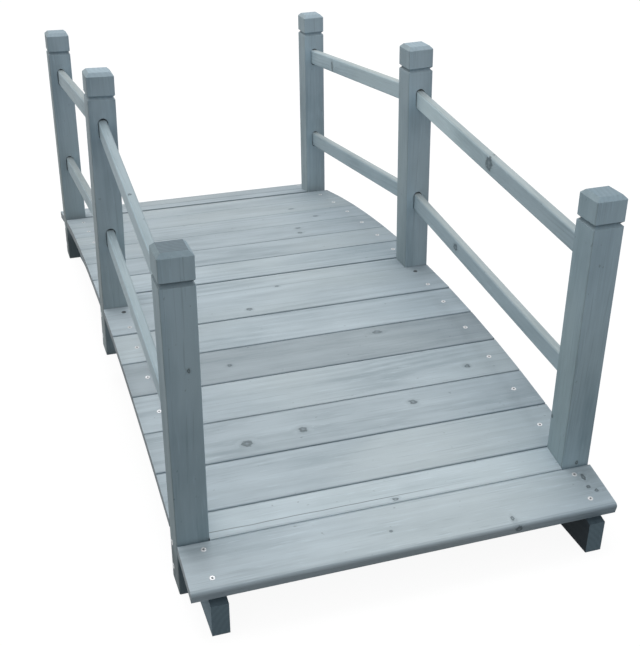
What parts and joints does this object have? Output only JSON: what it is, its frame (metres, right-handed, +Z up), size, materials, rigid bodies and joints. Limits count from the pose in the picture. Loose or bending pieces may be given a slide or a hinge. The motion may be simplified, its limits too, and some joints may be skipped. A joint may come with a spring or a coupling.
{
  "type": "arched wooden garden footbridge",
  "caption": "Small arched garden footbridge of blue-grey stained softwood, with a plank deck, square posts and sloping rails on both sides.",
  "frame": {"origin": "on the ground, at the middle of the span and of the width", "axes": "+X to the right across the walkway, +Y along the walkway from the near end to the far end, +Z up"},
  "size_m": [0.6676, 1.53, 0.6003],
  "materials": {
    "stained_deck": "satin stain, fine grain along each board",
    "stained_posts": "satin stain",
    "stained_rails": "satin stain",
    "stained_bearers": "satin stain"
  },
  "bodies": {
    "root": {"bearer_left": "stained_bearers", "bearer_right": "stained_bearers", "post_near_left": "stained_posts", "post_near_right": "stained_posts", "post_mid_left": "stained_posts", "post_mid_right": "stained_posts", "post_far_left": "stained_posts", "post_far_right": "stained_posts", "rail_upper_near_left": "stained_rails", "rail_upper_near_right": "stained_rails", "rail_upper_far_left": "stained_rails", "rail_upper_far_right": "stained_rails", "rail_lower_near_left": "stained_rails", "rail_lower_near_right": "stained_rails", "rail_lower_far_left": "stained_rails", "rail_lower_far_right": "stained_rails", "board_near_nose": "stained_deck", "board_near_post": "stained_deck", "board_near_1": "stained_deck", "board_near_2": "stained_deck", "board_near_3": "stained_deck", "board_near_4": "stained_deck", "board_near_5": "stained_deck", "board_mid_notched": "stained_deck", "board_far_1": "stained_deck", "board_far_2": "stained_deck", "board_far_3": "stained_deck", "board_far_4": "stained_deck", "board_far_5": "stained_deck", "board_far_6": "stained_deck", "board_far_post": "stained_deck", "board_far_nose": "stained_deck"}
  },
  "joints": []
}
